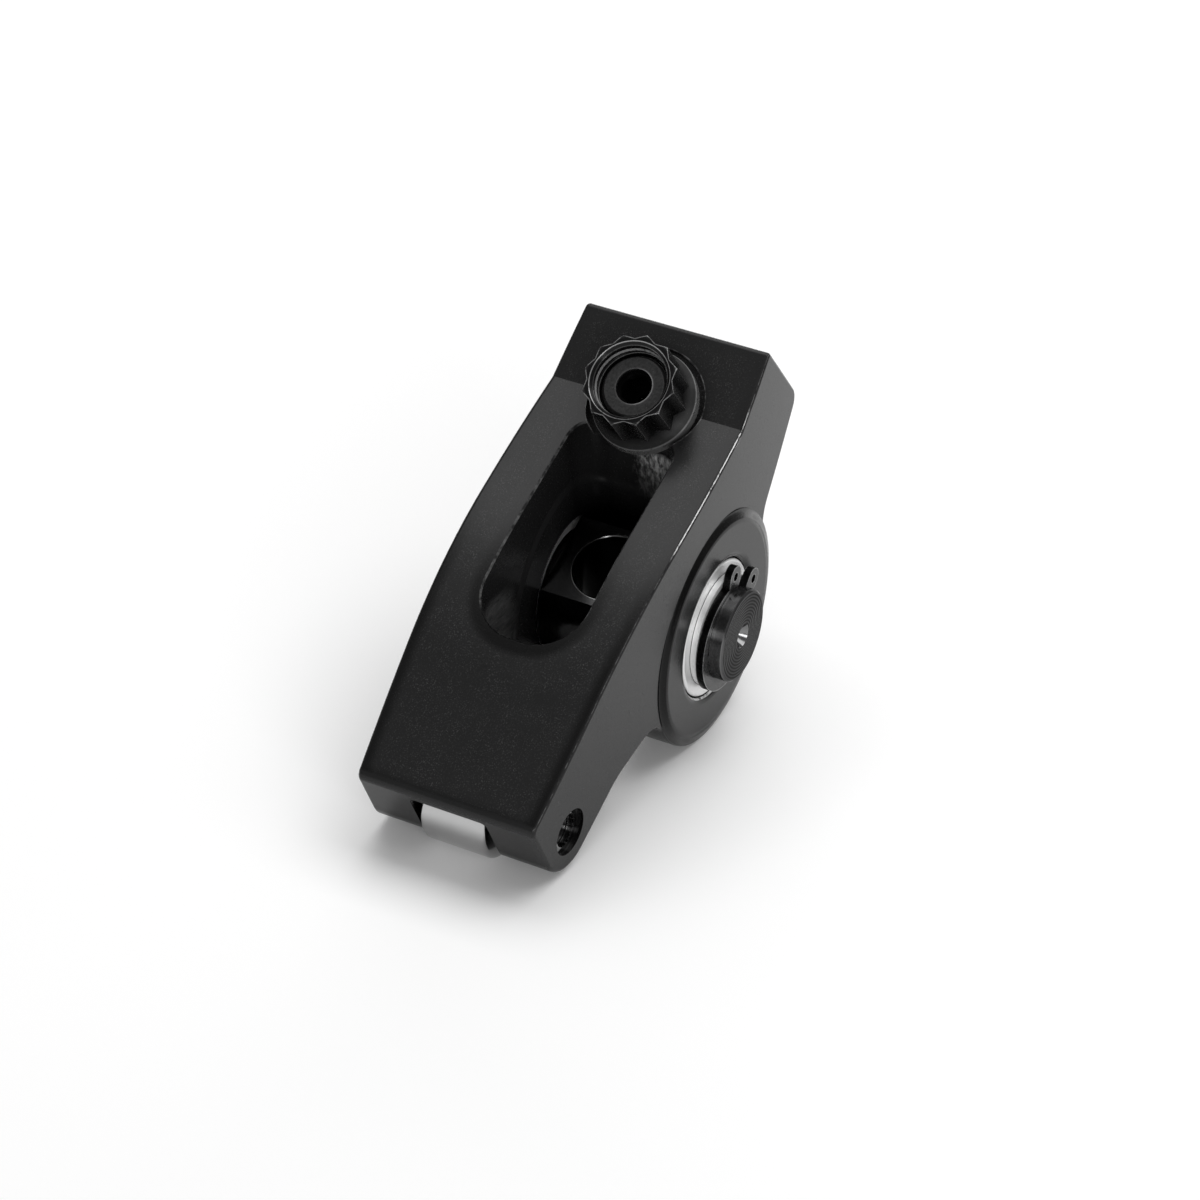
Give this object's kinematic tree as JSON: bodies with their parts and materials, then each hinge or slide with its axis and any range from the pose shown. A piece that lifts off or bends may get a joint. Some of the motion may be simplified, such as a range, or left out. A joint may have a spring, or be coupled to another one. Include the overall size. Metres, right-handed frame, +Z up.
{
  "type": "roller rocker arm",
  "caption": "Black anodised aluminium roller rocker arm with a needle-bearing trunnion for a pedestal bolt, a steel nose roller and an adjuster screw with a flanged lock nut.",
  "frame": {"origin": "middle of the trunnion, where its axis crosses the pedestal bolt's hole", "axes": "+X towards the nose roller along the surface that the arm lies on, +Y along the trunnion to the end that the picture shows, +Z up from that surface; the arm lies on its two round bosses and its nose roller, nose down"},
  "size_m": [0.0738, 0.0366, 0.0537],
  "materials": {
    "anodised_body": "black satin anodised aluminium",
    "dark_steel": "ground steel with a black oxide finish",
    "bright_bearing_steel": "bright bearing steel",
    "bearing_cage_steel": "pressed steel",
    "roller_steel": "ground and polished steel",
    "nut_steel": "black oxide steel, semi-gloss",
    "spring_steel": "phosphated spring steel"
  },
  "bodies": {
    "arm": {"rocker_body": "anodised_body", "bearing_cup_left": "bright_bearing_steel", "bearing_cup_right": "bright_bearing_steel", "nose_axle": "dark_steel", "axle_clip_left": "spring_steel", "axle_clip_right": "spring_steel"},
    "trunnion": {"trunnion": "dark_steel", "thrust_washer_left": "bright_bearing_steel", "thrust_washer_right": "bright_bearing_steel", "snap_ring_left": "spring_steel", "snap_ring_right": "spring_steel"},
    "cage_left": {"bearing_cage_left": "bearing_cage_steel", "needle_rollers_left": "bright_bearing_steel"},
    "cage_right": {"bearing_cage_right": "bearing_cage_steel", "needle_rollers_right": "bright_bearing_steel"},
    "roller": {"nose_roller": "roller_steel"},
    "adjuster": {"adjuster_screw": "nut_steel"},
    "nut": {"lock_nut": "nut_steel"}
  },
  "joints": [
    {"name": "trunnion_spin", "type": "hinge", "parent": "arm", "child": "trunnion", "pos_m": [0, 0, 0], "axis": [0, 1, 0], "continuous": true},
    {"name": "cage_left_orbit", "type": "hinge", "parent": "arm", "child": "cage_left", "pos_m": [0, -0.0112, 0], "axis": [0, 1, 0], "continuous": true},
    {"name": "cage_right_orbit", "type": "hinge", "parent": "arm", "child": "cage_right", "pos_m": [0, 0.0112, 0], "axis": [0, 1, 0], "continuous": true},
    {"name": "nose_roller_spin", "type": "hinge", "parent": "arm", "child": "roller", "pos_m": [0.03776, 0, -0.01005], "axis": [0, 1, 0], "continuous": true},
    {"name": "adjuster_travel", "type": "slide", "parent": "arm", "child": "adjuster", "axis": [0.6692, 0, 0.7431], "range_m": [-0.003, 0.005]},
    {"name": "lock_nut_turn", "type": "hinge", "parent": "arm", "child": "nut", "pos_m": [-0.00143, 0, 0.03143], "axis": [0.6692, 0, 0.7431], "continuous": true}
  ],
  "couplings": [
    {"joint": "cage_left_orbit", "follows": "trunnion_spin", "ratio": 0.42095},
    {"joint": "cage_right_orbit", "follows": "trunnion_spin", "ratio": 0.42095}
  ]
}
